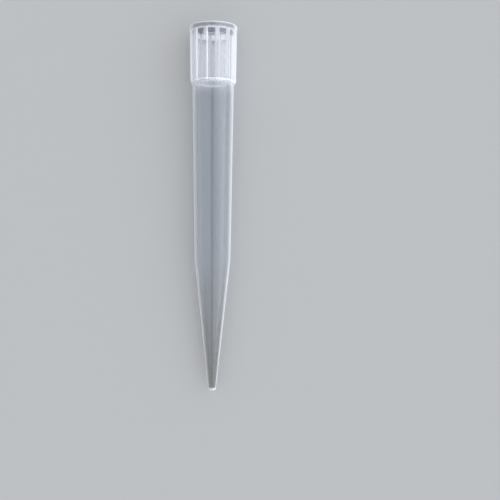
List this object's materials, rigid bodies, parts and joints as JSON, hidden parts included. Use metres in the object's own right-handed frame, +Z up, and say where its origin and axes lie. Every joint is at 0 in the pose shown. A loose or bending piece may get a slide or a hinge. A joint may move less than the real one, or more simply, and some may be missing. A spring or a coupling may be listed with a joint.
{
  "type": "pipette tip",
  "caption": "Moulded plastic tip for a large-volume hand pipette: ribbed collar with a tapered socket, long barrel and a cone ending in a fine orifice.",
  "frame": {"origin": "on the bench surface, under the middle of the lying tip's bounding box", "axes": "+Z up from the bench; +Y along the lying tip towards its mouth, the point towards -Y; +X across the tip"},
  "size_m": [0.0158, 0.1202, 0.0158],
  "materials": {
    "natural_polypropylene": "translucent natural polypropylene, milky, with a soft moulded gloss"
  },
  "bodies": {
    "root": {"tip": "natural_polypropylene"}
  },
  "joints": []
}
